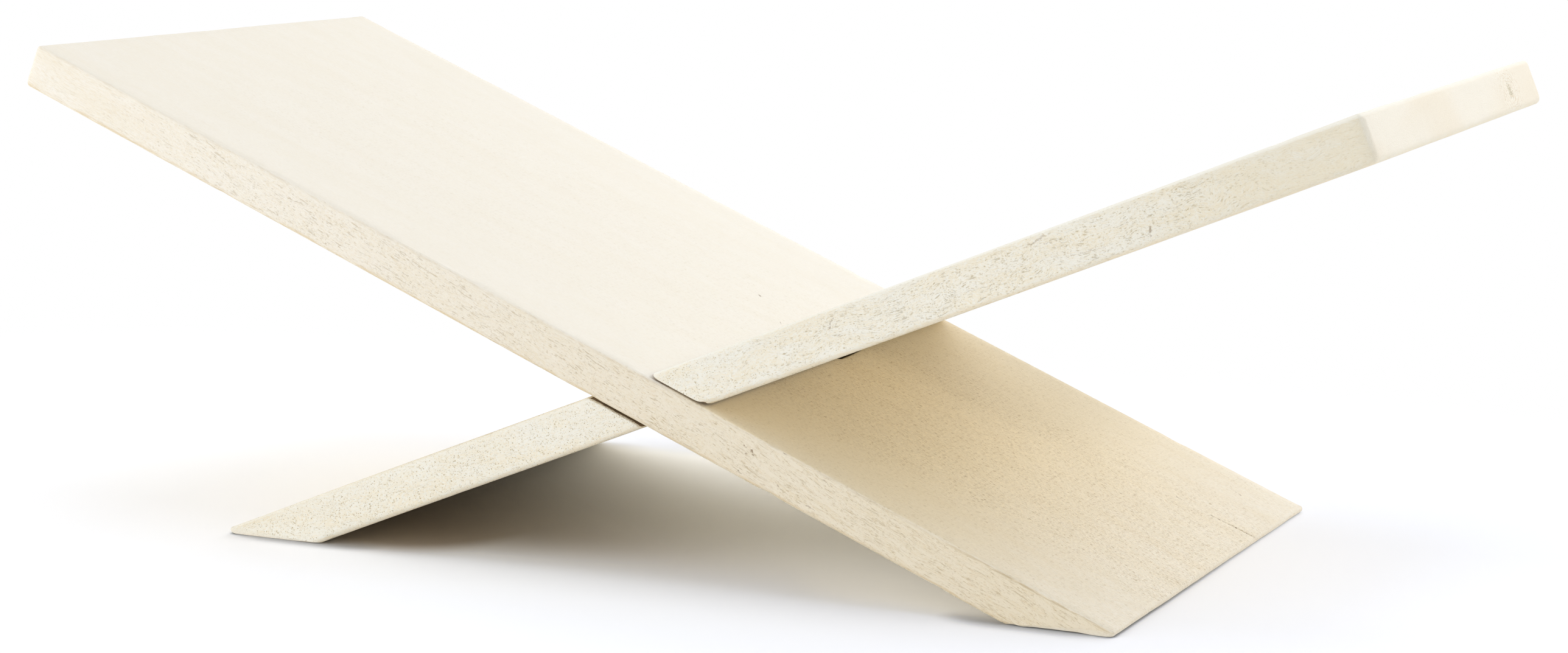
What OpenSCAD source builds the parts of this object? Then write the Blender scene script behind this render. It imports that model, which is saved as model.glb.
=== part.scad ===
// Low X-shaped bookstand: two solid boards that cross and hold each other in a cross-lap.
// Each board has one slot. The left board's slot opens at the back edge, the right board's at the
// front edge, so the boards slide together along the crossing line (Y) and stand without fixings.
// Frame: X from the left board's top end to the right board's, Y from front to back, Z up.
// The origin is on the floor, under the middle of the crossing.

/* [Boards] */
// Thickness of each board
board_t = 20; // [16:0.5:24]
// Depth of each board, front edge to back edge
board_d = 260; // [200:1:320]
// Length of the upper arm along the board, crossing centre to square end
arm_l = 327; // [240:1:400]
// Slope of each board to the floor, in degrees
slope = 22.4; // [18:0.1:30]
// Height of the crossing centre above the floor
crossing_h = 76.5; // [60:0.5:100]

/* [Slots] */
// Depth of the left board that stays solid, measured from its front edge
left_solid_d = 134; // [100:1:150]
// Gap left between the two blind ends
end_gap = 1; // [0.5:0.1:2]
// Gap at the shoulder that carries the load, on the side of the upper arms
bearing_gap = 0.2; // [0.1:0.05:0.5]
// Gap at the left board's lower shoulder
left_lower_gap = 0.4; // [0.2:0.1:2]
// Gap at the right board's lower shoulder, rough from the saw
right_lower_gap = 1.4; // [0.2:0.1:2]
// How far the right board stands back from the left board's front face
set_back = 0.5; // [0:0.1:1]

/* [Softened edges] */
// Radius of the long edges
long_edge_r = 2; // [0.5:0.1:4]
// Radius of the edges at the square top end
top_end_r = 2.5; // [0.5:0.1:4]
// Radius of the sharp tip of the foot
foot_tip_r = 1.2; // [0.6:0.1:2]
// Radius of the blunt heel of the foot
foot_heel_r = 3; // [1:0.1:6]

/* [Hidden] */
$fn = 48;
// Steps in each rounded corner of the side outline
arc_steps = 6;
// Reach of a cutter past the board, so that its faces never lie in the board's faces
over = 5;
// Distance along the board from the crossing centre to the tip and to the heel of the foot
tip_l = (crossing_h + board_t / 2 * cos(slope)) / sin(slope);
heel_l = (crossing_h - board_t / 2 * cos(slope)) / sin(slope);
board_l = arm_l + tip_l;
// Angle between the two boards
crossing_angle = 2 * slope;
// Solid part of the right board, which fills the left board's slot
right_solid_d = board_d - left_solid_d - end_gap - set_back;

function unit(v) = v / norm(v);

// Points of the arc of radius r that rounds the convex corner b between a and c
function corner(a, b, c, r) =
    let (
        to_a = unit(a - b),
        to_c = unit(c - b),
        half = acos(to_a * to_c) / 2,
        centre = b + unit(to_a + to_c) * r / sin(half),
        first = b + to_a * r / tan(half) - centre,
        turn = 180 - 2 * half
    )
    [for (i = [0:arc_steps])
        let (angle = turn * i / arc_steps)
        centre + [
            first.x * cos(angle) - first.y * sin(angle),
            first.x * sin(angle) + first.y * cos(angle)
        ]
    ];

// Side outline of a board that lies along X, with its crossing centre at 0 and its foot at -X
module side_outline() {
    top_under = [arm_l, -board_t / 2];
    top_upper = [arm_l, board_t / 2];
    tip = [-tip_l, board_t / 2];
    heel = [-heel_l, -board_t / 2];
    polygon(concat(
        corner(heel, top_under, top_upper, top_end_r),
        corner(top_under, top_upper, tip, top_end_r),
        corner(top_upper, tip, heel, foot_tip_r),
        corner(tip, heel, top_under, foot_heel_r)
    ));
}

// Rectangle from corner 0 with four round corners
module round_rectangle(x, y, r) {
    translate([r, 0])
        square([x - 2 * r, y]);
    translate([0, r])
        square([x, y - 2 * r]);
    for (px = [r, x - r], py = [r, y - r])
        translate([px, py])
            circle(r);
}

// Whole board before its slot is cut, lying flat, its front edge at Y = 0
module blank() {
    intersection() {
        translate([0, board_d, 0])
            rotate([90, 0, 0])
                linear_extrude(board_d)
                    side_outline();
        // the long edges are round in the board's cross section
        translate([-tip_l - over, 0, -board_t / 2])
            rotate([90, 0, 90])
                linear_extrude(board_l + 2 * over)
                    round_rectangle(board_d, board_t, long_edge_r);
        // the short edges at the square end are round in plan
        translate([-tip_l - over, 0, -board_t])
            linear_extrude(2 * board_t)
                round_rectangle(board_l + over, board_d, top_end_r);
    }
}

// Room for the other board, which crosses at the given angle, from slot_start to past the edge
module slot(slot_start, slot_end, lower_gap) {
    slot_w = board_t + bearing_gap + lower_gap;
    rotate([0, crossing_angle, 0])
        translate([-2 * board_t, slot_start, -board_t / 2 - lower_gap])
            cube([4 * board_t, slot_end - slot_start, slot_w]);
}

module left_rest_board() {
    color("antiquewhite")
        translate([0, -(board_d + set_back) / 2, crossing_h])
            mirror([1, 0, 0])
                rotate([0, -slope, 0])
                    difference() {
                        blank();
                        slot(left_solid_d, board_d + over, left_lower_gap);
                    }
}

module right_rest_board() {
    color("wheat")
        translate([0, -(board_d - set_back) / 2, crossing_h])
            rotate([0, -slope, 0])
                difference() {
                    blank();
                    slot(-over, board_d - right_solid_d, right_lower_gap);
                }
}

left_rest_board();
right_rest_board();
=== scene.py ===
"""Looks of the crossed bookstand: two boards of bleached, open-pored hardwood in a cross-lap.

Each plain board solid is replaced by a dressed one of the same outline: hand-worn arrises, a slight
bow, a top end cut a little out of square, rough slot shoulders, chips and a drying crack. The wood
is one solid pattern in the board's own directions, so faces, edges and end grain agree.

A board's own directions are u along it (from the crossing centre to the top end), d across its
depth (from its solid edge to its slotted edge) and w through its thickness. Lengths are in metres.
"""

from math import cos, pi, radians, sin
from types import SimpleNamespace

import bmesh
import bpy
import numpy as np
from mathutils import Euler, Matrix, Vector


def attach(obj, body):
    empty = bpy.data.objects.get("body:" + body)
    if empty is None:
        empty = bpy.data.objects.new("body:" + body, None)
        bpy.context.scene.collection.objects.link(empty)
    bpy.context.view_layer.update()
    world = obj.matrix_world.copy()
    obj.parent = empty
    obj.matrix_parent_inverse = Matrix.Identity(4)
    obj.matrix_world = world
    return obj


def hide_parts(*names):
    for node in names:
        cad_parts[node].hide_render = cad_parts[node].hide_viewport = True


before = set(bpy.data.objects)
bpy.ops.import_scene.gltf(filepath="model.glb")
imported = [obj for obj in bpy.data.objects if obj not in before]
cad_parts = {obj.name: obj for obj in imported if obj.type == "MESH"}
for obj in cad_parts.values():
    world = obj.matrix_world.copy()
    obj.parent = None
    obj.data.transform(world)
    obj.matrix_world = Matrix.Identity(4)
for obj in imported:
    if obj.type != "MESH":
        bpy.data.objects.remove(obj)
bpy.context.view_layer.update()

# ---------------------------------------------------------------- sizes of the boards
MM = 0.001
THICK = 20 * MM
DEPTH = 260 * MM
ARM = 327 * MM
SLOPE = radians(22.4)
CROSSING_H = 76.5 * MM
SET_BACK = 0.5 * MM
BEARING_GAP = 0.2 * MM
UPPER_ARRIS_R = 1.1 * MM
LOWER_ARRIS_R = 2.0 * MM
TOP_END_R = 2.5 * MM
FOOT_TIP_R = 1.55 * MM
FOOT_HEEL_R = 3.0 * MM
FOOT_SIDE_R = 0.8 * MM
SHOULDER_R = 0.7 * MM

# Each board: the CAD body it rides on, whether it is turned half round, the depth of its solid part,
# its gaps beside the slot's shoulders, its bow and skew, the seed of its wear, and in mm: where its
# grid is finer, how far the saw slipped and over which depth, how far fibres are torn out, its worn
# spots (place, reach, shift) and its cracks (first and last end, depth, half width).
BOARDS = {
    "left_rest_board": {
        "body": "left_board",
        "turned": False,
        "solid_depth": 134 * MM,
        "lower_gap": 0.4 * MM,
        "upper_gap": BEARING_GAP,
        "bow": -0.15 * MM,
        "skew": -7.0 * MM,
        "seed": 11,
        "fine_rows": [187],
        "over_cut": 1.0,
        "over_cut_reach": 32,
        "torn": 0.3,
        "worn": [
            ((-180.0, 0.0, -9.0), 2.4, (0.2, 0.4, 0.8)),
            ((-176.5, 0.0, -10.0), 1.6, (0.0, 0.3, 0.5)),
            ((-188.0, 0.0, -5.3), 5.0, (0.2, 0.0, 0.5)),
            ((-196.0, 0.0, -2.0), 5.0, (0.2, 0.0, 0.5)),
            ((-204.0, 0.0, 1.3), 5.0, (0.2, 0.0, 0.5)),
        ],
        "cracks": [((-193.0, 185.9), (-221.0, 187.4), 0.45, 0.7)],
    },
    "right_rest_board": {
        "body": "right_board",
        "turned": True,
        "solid_depth": 124.5 * MM,
        "lower_gap": 0.75 * MM,
        "upper_gap": 0.5 * MM,
        "bow": 0.65 * MM,
        "skew": -2.8 * MM,
        "seed": 23,
        "fine_rows": [],
        "over_cut": 0.5,
        "over_cut_reach": 25,
        "torn": 0.45,
        "worn": [
            ((26.5, 260.0, -10.0), 4.0, (0.3, 0.0, 0.6)),
            ((24.55, 260.0, -10.0), 2.2, (0.4, 0.0, 0.5)),
            ((4.41, 260.0, 10.0), 2.4, (2.2, -0.3, -0.3)),
            ((-5.4, 260.0, -10.0), 2.4, (-1.6, 0.0, 0.4)),
            ((326.5, 46.0, 3.5), 2.4, (-0.5, 0.0, 0.0)),
        ],
        "cracks": [],
    },
}


# ---------------------------------------------------------------- arithmetic on whole arrays
def lattice_noise(points, cell, seed):
    """Smooth noise from -1 to 1: random values at the corners of a cubic lattice of the given cell,
    blended between the eight corners round each point with the curve 3t^2 - 2t^3."""
    size = 32
    table = np.random.default_rng(seed).uniform(-1, 1, (size, size, size))
    place = points / cell
    base = np.floor(place).astype(int)
    share = place - base
    share = share * share * (3 - 2 * share)
    total = np.zeros(len(points))
    for corner in np.ndindex(2, 2, 2):
        at = (base + corner) % size
        weight = np.where(corner, share, 1 - share).prod(axis=1)
        total += weight * table[at[:, 0], at[:, 1], at[:, 2]]
    return total


def smooth_step(low, high, value):
    """0 below low, 1 above high, and 3t^2 - 2t^3 of the share t in between."""
    share = np.clip((value - low) / (high - low), 0, 1)
    return share * share * (3 - 2 * share)


def unit(vector):
    return vector / np.linalg.norm(vector)


def corner_arc(before, corner, after, radius, steps):
    """The arc of the given radius that touches the two sides of a corner, as steps + 1 points: its
    centre lies on the bisector, radius / sin(half angle) from the corner."""
    before, corner, after = np.array(before), np.array(corner), np.array(after)
    to_before = unit(before - corner)
    to_after = unit(after - corner)
    half = np.arccos(to_before @ to_after) / 2
    centre = corner + unit(to_before + to_after) * radius / np.sin(half)
    first = corner + to_before * radius / np.tan(half) - centre
    side = np.sign(to_before[0] * to_after[1] - to_before[1] * to_after[0])
    turn = -side * (pi - 2 * half) * np.linspace(0, 1, steps + 1)
    x = first[0] * np.cos(turn) - first[1] * np.sin(turn)
    w = first[0] * np.sin(turn) + first[1] * np.cos(turn)
    return centre + np.stack([x, w], axis=1)


def between(start, end, shares):
    """Points at the given shares of the way from start to end."""
    return np.array(start) + np.outer(shares, np.array(end) - np.array(start))


# ---------------------------------------------------------------- the dressed board
# The rows of the grid across the depth: how far apart they lie, the closer ones beside a fine row,
# and the least distance between two.
ROW_SPACING = 4 * MM
CLOSE_ROWS = np.array([-2.4, -1.2, -0.5, 0, 0.5, 1.2, 2.4]) * MM
LEAST_SPACING = 0.3 * MM
# The steps of an arc, and the points across an edge and along the faces.
ARC_STEPS = 5
EDGE_POINTS = 17
FINE_FOOT_POINTS = 28
LEG_POINTS = 45
SLOT_POINTS = 15
ARM_POINTS = 76
# The share of the leg next to the foot that has finer rings.
FINE_FOOT = 0.16
# How far round a shoulder the slotted part is folded, ring by ring.
FOLDS = np.array([0.012, 0.05, 0.13, 0.25, 0.38, 0.52, 0.66, 0.8, 0.92, 1.0])
# The least radius that an arris keeps at a shoulder.
LEAST_ARRIS_R = 0.3 * MM


def depth_rows(solid_depth, fine_at):
    """Distances across the depth at which the grid has a row: evenly spaced, with closer rows at the
    places in fine_at, and one row at the end of the slot."""
    coarse = np.arange(LOWER_ARRIS_R, DEPTH - LOWER_ARRIS_R, ROW_SPACING)
    close = [at + CLOSE_ROWS for at in fine_at]
    rows = np.unique(np.concatenate([coarse, [solid_depth, DEPTH - LOWER_ARRIS_R], *close]))
    keep = np.concatenate([[True], np.diff(rows) > LEAST_SPACING])
    keep |= rows == solid_depth
    return rows[keep]


def loop_pattern(rows, solid_depth):
    """One turn round a board's cross section, as shares that fit any rounded rectangle: f across the
    depth, g through the thickness, and the direction of the rounding. far marks the points past
    the end of the slot, and h is their share of the slot's end wall."""
    f = (rows - LOWER_ARRIS_R) / (DEPTH - 2 * LOWER_ARRIS_R)
    angles = np.linspace(0, pi / 2, ARC_STEPS + 1)[1:-1]
    side = np.linspace(-1, 1, EDGE_POINTS)
    one = np.ones_like
    parts = [
        (f, -one(f), 0 * f, -one(f)),
        (one(angles), -one(angles), np.sin(angles), -np.cos(angles)),
        (one(side), side, one(side), 0 * side),
        (one(angles), one(angles), np.cos(angles), np.sin(angles)),
        (f[::-1], one(f), 0 * f, one(f)),
        (0 * angles, one(angles), -np.sin(angles), np.cos(angles)),
        (0 * side, -side, -one(side), 0 * side),
        (0 * angles, -one(angles), -np.cos(angles), -np.sin(angles)),
    ]
    f, g, round_d, round_w = (np.concatenate(column) for column in zip(*parts))
    end_f = (solid_depth - LOWER_ARRIS_R) / (DEPTH - 2 * LOWER_ARRIS_R)
    far = f > end_f + 1e-6
    h = np.zeros(len(f))
    h[far] = np.linspace(-1, 1, far.sum() + 2)[1:-1]
    return f, g, round_d, round_w, far, h


# The parts of a board that its rings belong to.
FOOT, FACES, LOWER_SHOULDER, SLOT, UPPER_SHOULDER, TOP_END = range(6)


def side_rings(lower_gap, upper_gap):
    """The rings that a board is swept through, from the middle of the foot to the middle of the top
    end. Each ring spans from a point on the lower side outline to one on the upper side outline.
    Returns their two (u, w) points, the inset of their ends in depth, the inset of their slotted
    part at a shoulder, how far that part is folded onto the slot's end wall, their zone, how much of
    a rounded nose they are, and how much of the end's cross cut."""
    half = THICK / 2
    tip = np.array([-(CROSSING_H + half * cos(SLOPE)) / sin(SLOPE), half])
    heel = np.array([-(CROSSING_H - half * cos(SLOPE)) / sin(SLOPE), -half])
    top_upper, top_under = np.array([ARM, half]), np.array([ARM, -half])
    foot_mid, end_mid = (tip + heel) / 2, (top_upper + top_under) / 2
    crossing = 2 * SLOPE

    def shoulder(offset):
        """Where the plane beside the other board meets this board's top face and underside."""
        return [
            np.array([(offset - w * cos(crossing)) / sin(crossing), w]) for w in (half, -half)
        ]

    low_top, low_under = shoulder(-half - lower_gap)
    high_top, high_under = shoulder(half + upper_gap)
    along = np.array([1.0, 0.0])
    tip_arc = corner_arc(foot_mid, tip, top_upper, FOOT_TIP_R, ARC_STEPS)
    heel_arc = corner_arc(foot_mid, heel, top_under, FOOT_HEEL_R, ARC_STEPS)
    upper_arc = corner_arc(tip, top_upper, end_mid, TOP_END_R, ARC_STEPS)
    under_arc = corner_arc(heel, top_under, end_mid, TOP_END_R, ARC_STEPS)
    quarter = np.linspace(0, pi / 2, ARC_STEPS + 1)
    upper, under = [], []
    columns = [[], [], [], [], [], []]

    def add(
        top_points,
        under_points,
        ends=0.0,
        pinched=0.0,
        folded=0.0,
        zone=FACES,
        nose=0.0,
        cross=0.0,
    ):
        upper.append(top_points)
        under.append(under_points)
        for column, value in zip(columns, (ends, pinched, folded, zone, nose, cross)):
            column.append(np.broadcast_to(value, len(top_points)).astype(float))

    def hold(top_point, under_point, folds, zone):
        """A ring that stands still at a shoulder while its slotted part folds onto the end wall."""
        still = [np.repeat([point], len(folds), 0) for point in (top_point, under_point)]
        add(*still, pinched=SHOULDER_R, folded=folds, zone=zone)

    cap = np.array([0, 0.15, 0.35, 0.55, 0.75, 0.9])
    cap_reach = np.linalg.norm(tip_arc[0] - foot_mid)
    add(
        between(foot_mid, tip_arc[0], cap),
        between(foot_mid, heel_arc[0], cap),
        ends=FOOT_SIDE_R + (1 - cap) * cap_reach * 0.5,
        zone=FOOT,
        cross=1.0,
    )
    add(
        tip_arc,
        heel_arc,
        ends=FOOT_SIDE_R * (1 - np.sin(quarter)),
        zone=FOOT,
        nose=np.sin(quarter * 1.6 + 0.3),
        cross=1 - quarter / quarter[-1],
    )
    near_foot = np.linspace(0, FINE_FOOT, FINE_FOOT_POINTS)[1:]
    leg = np.concatenate([near_foot, np.linspace(FINE_FOOT, 1, LEG_POINTS)[1:-1]])
    leg_end = SHOULDER_R * along
    add(
        between(tip_arc[-1], low_top - leg_end, leg),
        between(heel_arc[-1], low_under - leg_end, leg),
    )
    bevel_turn = np.linspace(0, pi / 2, 4)
    back_off = np.outer(1 - np.sin(bevel_turn), SHOULDER_R * along)
    bevel = SHOULDER_R * (1 - np.cos(bevel_turn))
    add(low_top - back_off, low_under - back_off, pinched=bevel, zone=LOWER_SHOULDER)
    hold(low_top, low_under, FOLDS, LOWER_SHOULDER)
    slot = np.linspace(0, 1, SLOT_POINTS)[1:-1]
    add(
        between(low_top, high_top, slot),
        between(low_under, high_under, slot),
        folded=1.0,
        zone=SLOT,
    )
    hold(high_top, high_under, FOLDS[::-1], UPPER_SHOULDER)
    back_on, bevel = back_off[::-1], bevel[::-1]
    add(high_top + back_on, high_under + back_on, pinched=bevel, zone=UPPER_SHOULDER)
    arm = np.linspace(0, 1, ARM_POINTS)[1:-1]
    add(
        between(high_top + leg_end, upper_arc[0], arm),
        between(high_under + leg_end, under_arc[0], arm),
    )
    add(
        upper_arc,
        under_arc,
        ends=TOP_END_R * (1 - np.cos(quarter)),
        zone=TOP_END,
        nose=np.sin(2 * quarter),
        cross=quarter / quarter[-1],
    )
    cap = np.array([0.2, 0.4, 0.6, 0.8, 1.0])
    cap_reach = np.linalg.norm(upper_arc[-1] - end_mid)
    add(
        between(upper_arc[-1], end_mid, cap),
        between(under_arc[-1], end_mid, cap),
        ends=TOP_END_R + cap * cap_reach,
        zone=TOP_END,
        cross=1.0,
    )
    return [np.concatenate(column) for column in (upper, under, *columns)]


def sweep(board, rows):
    """Every ring point of a board: the rounded rectangle of the loop pattern, set into the ring's
    plane, d = (1 - f) * (inset + r) + f * (depth - inset - r) + r * rounding, and w likewise
    between the ring's lower and upper point. The part past the slot's end is drawn onto the end
    wall by the ring's fold. Returns an array of rings by points by (u, d, w), and its masks."""
    f, g, round_d, round_w, far, h = loop_pattern(rows, board["solid_depth"])
    rings = side_rings(board["lower_gap"], board["upper_gap"])
    upper, under, inset, pinch, fold, zone, nose, cross = rings
    pinch = pinch[:, None] * far
    half = np.maximum(np.abs(upper[:, 1] - under[:, 1]) / 2, 1e-7)[:, None]
    room = half - np.minimum(pinch, 0.5 * half)
    arris_r = LOWER_ARRIS_R + (UPPER_ARRIS_R - LOWER_ARRIS_R) * (g + 1) / 2
    radius = np.minimum(np.maximum(arris_r - pinch, LEAST_ARRIS_R), room)
    low = inset[:, None] + radius
    high = DEPTH - inset[:, None] - pinch - radius
    d = (1 - f) * low + f * high + radius * round_d
    share = (g * (room - radius) + radius * round_w) / half
    fold_far = fold[:, None] * far
    d = d + fold_far * (board["solid_depth"] - d)
    share = share + fold_far * (h - share)
    middle, reach = (upper + under) / 2, (upper - under) / 2
    u = middle[:, :1] + share * reach[:, :1]
    w = middle[:, 1:] + share * reach[:, 1:]
    cross = np.broadcast_to(cross[:, None], u.shape)
    rounding = np.abs(round_d * round_w) * 2 * (1 - fold_far) * (1 - cross)
    rounding = np.maximum(rounding, nose[:, None])
    rim = np.max(pinch, axis=1) / SHOULDER_R
    return np.stack([u, d, w], axis=2), rounding, cross, fold, zone, far, rim


def shared_numbers(grid, fold, far):
    """The number of each ring point. While the slotted part is folded, the rest of the ring stands
    still, so its points have the numbers of the ring before the fold, and later of the one after.
    The first and the last ring are flat, so points that meet there have one number."""
    rings, points = grid.shape[:2]
    number = np.arange(rings * points).reshape(rings, points)
    folding = fold > 0
    for ring in range(1, rings):
        if folding[ring] and fold[ring - 1] < fold[ring]:
            number[ring, ~far] = number[ring - 1, ~far]
    for ring in range(rings - 2, -1, -1):
        if folding[ring] and fold[ring + 1] < fold[ring]:
            number[ring, ~far] = number[ring + 1, ~far]
    for ring in (0, rings - 1):
        spot = np.round(grid[ring] / (0.02 * MM))
        _, first, same = np.unique(spot, axis=0, return_index=True, return_inverse=True)
        number[ring] = number[ring, first[same.ravel()]]
    return number


def strips(number):
    """Quads between neighbouring rings and neighbouring points, turned so that they face outwards."""
    ahead = np.roll(number, -1, axis=1)
    return np.stack([number[:-1], ahead[:-1], ahead[1:], number[1:]], axis=-1).reshape(-1, 4)


def vertex_normals(points, quads):
    """The sum, at each vertex, of the cross products of its quads' diagonals, at length 1."""
    first = points[quads[:, 2]] - points[quads[:, 0]]
    second = points[quads[:, 3]] - points[quads[:, 1]]
    cross = np.cross(first, second)
    total = np.zeros_like(points)
    for corner in range(4):
        np.add.at(total, quads[:, corner], cross)
    length = np.linalg.norm(total, axis=1, keepdims=True)
    return total / np.maximum(length, 1e-12)


# The hand finish, all in mm: how far planed faces lie inside their outline, the height and length of
# their waves, how far arrises are rubbed down and over which length, and how rough they stay.
PLANED = 0.12
PLANE_WAVES = ((0.09, 35), (0.03, 9))
RUBBED_DOWN, RUBBED_OVER = 0.35, 22
LEFT_ROUGH, ROUGH_OVER = 0.10, 3
# Small knocks along each board's arrises: their number, where they may lie along it (m), and their
# reach and depth in mm.
KNOCKS = 26
KNOCKS_ALONG = (-0.19, ARM - 0.01)
KNOCK_REACH = (1.5, 4.5)
KNOCK_DEPTH = (0.15, 0.5)
# How closely the wood's unevenness lies along the grain, across it and through the board.
ALONG_GRAIN = (0.4, 1, 1)
# The torn fibres at the lower shoulder: their size, and the strip by the slotted edge they lie in.
TORN_FIBRE = 0.9 * MM
TORN_STRIP = (DEPTH - 9 * MM, DEPTH - 1 * MM)
# Points closer than this are one, and an edge of more than this angle is drawn sharp.
WELD = 0.001 * MM
SHARP_ANGLE = radians(38)
# A crack sinks the board from where the top face begins, and ends at this share of its line.
TOP_BEGINS_W = (8.6 * MM, 9.4 * MM)
CRACK_RUN_OUT = 1.3
# Where the bow fades out towards the foot, and how far from the crossing it has its full height.
BOW_FADES_U = (-200 * MM, -120 * MM)
BOW_REACH = 250 * MM


def knocks(points, places, reach, depth):
    """How deep small knocks press in at each point: the sum over the places of
    depth * exp(-(r / reach)^2)."""
    total = np.zeros(len(points))
    for place, size, press in zip(places, reach, depth):
        away = ((points - place) ** 2).sum(axis=1)
        total += press * np.exp(-away / size**2)
    return total


def to_world(points, turned):
    """Board directions to the frame: x = -(u cos a - w sin a), y from the front, z = crossing height
    + u sin a + w cos a. The right board is the same, turned half round the vertical axis."""
    u, d, w = points.T
    x = -(u * cos(SLOPE) - w * sin(SLOPE))
    y = d - (DEPTH + SET_BACK) / 2
    z = CROSSING_H + u * sin(SLOPE) + w * cos(SLOPE)
    if turned:
        x, y = -x, -y
    return np.stack([x, y, z], axis=1)


def wear(points, normals, rounding, flat, board):
    """The hand finish: planed faces lie up to a quarter of a millimetre inside their outline, arrises
    are rubbed down unevenly, small knocks sit along them, and a few corners are worn away by a shift.
    flat is 0 where a face stays true."""
    seed = board["seed"]
    grain = points * ALONG_GRAIN
    planed = PLANED
    for extra, (height, length) in enumerate(PLANE_WAVES):
        planed = planed + height * lattice_noise(grain, length * MM, seed + extra)
    rubbed = 0.5 + 0.5 * lattice_noise(grain, RUBBED_OVER * MM, seed + 2)
    rough = lattice_noise(points, ROUGH_OVER * MM, seed + 3)
    rubbed = (RUBBED_DOWN * rubbed + LEFT_ROUGH * rough) * rounding
    random = np.random.default_rng(seed + 4)
    edge = random.integers(0, 2, (KNOCKS, 2))
    along = random.uniform(*KNOCKS_ALONG, KNOCKS)
    places = np.stack([along, edge[:, 0] * DEPTH, (edge[:, 1] - 0.5) * THICK], axis=1)
    reach = random.uniform(*KNOCK_REACH, KNOCKS) * MM
    dents = knocks(points, places, reach, random.uniform(*KNOCK_DEPTH, KNOCKS))
    inward = np.maximum(planed, 0) * flat + rubbed + dents
    worn = points - normals * (inward * MM)[:, None]
    for place, reach, shift in board["worn"]:
        share = knocks(points, [np.array(place) * MM], [reach * MM], [1.0])
        worn = worn + np.outer(share, shift) * MM
    return worn


def carve(points, board):
    """Drying cracks in the top face: each sinks it in a V, depth * (1 - away / half width), along a line
    that deepens from its first end and runs out past its last."""
    u, d, w = points.T.copy()
    on_top = smooth_step(*TOP_BEGINS_W, w)
    for first, last, depth, half_width in board["cracks"]:
        line = np.array(last) - np.array(first)
        share = ((u / MM - first[0]) * line[0] + (d / MM - first[1]) * line[1]) / (line @ line)
        away = np.abs((u / MM - first[0]) * line[1] - (d / MM - first[1]) * line[0])
        away = away / np.linalg.norm(line)
        along = smooth_step(0, 0.5, share) * (share < CRACK_RUN_OUT)
        w = w - depth * MM * along * on_top * np.clip(1 - away / half_width, 0, 1)
    return np.stack([u, d, w], axis=1)


def bend(points, board):
    """The bow raises both ends by bow * (u / reach)^2, fading out at the foot, and the skew makes
    the top end longer at one edge, in proportion to the way up the arm."""
    u, d, w = points.T.copy()
    off_foot = smooth_step(*BOW_FADES_U, u)
    w = w + board["bow"] * (u / BOW_REACH) ** 2 * off_foot
    arm_share = np.clip(u / ARM, 0, None)
    u = u + board["skew"] * (d / DEPTH - 0.5) * arm_share
    return np.stack([u, d, w], axis=1)


def saw_slips(points, zone, far, board):
    """The lower shoulder of the slot, drawn back towards the foot: by over_cut * (1 - past^2) next to
    the slot's end, where the saw slipped, and by torn fibres along its outer arris."""
    u, d, w = points.T.copy()
    shoulder = (zone == LOWER_SHOULDER) * far
    reach = board["over_cut_reach"] * MM
    past = np.clip((d - board["solid_depth"]) / reach, 0, 1)
    over_cut = board["over_cut"] * MM * (1 - past**2) * (d < board["solid_depth"] + reach)
    torn = 0.5 + 0.5 * lattice_noise(points, TORN_FIBRE, board["seed"] + 7)
    edge = smooth_step(*TORN_STRIP, d)
    torn = board["torn"] * MM * (0.1 + 0.9 * torn) * edge
    u = u - shoulder * (over_cut + torn) / sin(2 * SLOPE)
    return np.stack([u, d, w], axis=1)


def dressed_board(name, board):
    """A closed mesh for one board, welded, worn and bent, with its masks as vertex attributes."""
    rows = depth_rows(board["solid_depth"], [at * MM for at in board["fine_rows"]])
    grid, rounding, cross, fold, zone, far, rim = sweep(board, rows)
    rings, count = grid.shape[:2]
    number = shared_numbers(grid, fold, far)
    points = grid.reshape(-1, 3)
    rounding = rounding.ravel()
    ring_zone = np.repeat(zone, count)
    ring_fold = np.repeat(fold, count)
    rim = np.repeat(rim, count)
    far = np.tile(far, rings)
    cut = (((ring_fold > 0) | (ring_zone == SLOT)) & far).astype(float)
    # Painted shade: the bevel of the upper shoulder, where it sits on the other board, takes the saw
    # cut's brown as a dark contact line.
    shoulder_contact_shade = (ring_zone == UPPER_SHOULDER) & far & (rim > 0.1)
    cut = np.maximum(cut, 0.9 * shoulder_contact_shade)
    points = saw_slips(points, ring_zone, far, board)
    normals = vertex_normals(points, strips(number))
    flat = np.where(ring_zone == FOOT, 0.0, 1.0)
    points = wear(points, normals, rounding, flat, board)
    points = carve(points, board)
    points = bend(points, board)
    place = to_world(points, board["turned"])[number.ravel()]
    place[:, 2] = np.maximum(place[:, 2], 0)
    quads = strips(np.arange(rings * count).reshape(rings, count))
    mesh = bpy.data.meshes.new(name + "_dressed")
    mesh.from_pydata(place.tolist(), [], quads.tolist())
    for mask, values in (("arris", rounding), ("saw_cut_and_contact_shade", cut), ("cross_cut", cross.ravel())):
        layer = mesh.attributes.new(mask, "FLOAT", "POINT")
        layer.data.foreach_set("value", values.astype(np.float32))
    form = bmesh.new()
    form.from_mesh(mesh)
    bmesh.ops.remove_doubles(form, verts=form.verts, dist=WELD)
    bmesh.ops.recalc_face_normals(form, faces=form.faces)
    form.to_mesh(mesh)
    form.free()
    mesh.shade_smooth()
    mesh.set_sharp_from_angle(angle=SHARP_ANGLE)
    piece = bpy.data.objects.new(name + "_dressed", mesh)
    bpy.context.scene.collection.objects.link(piece)
    return piece


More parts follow.
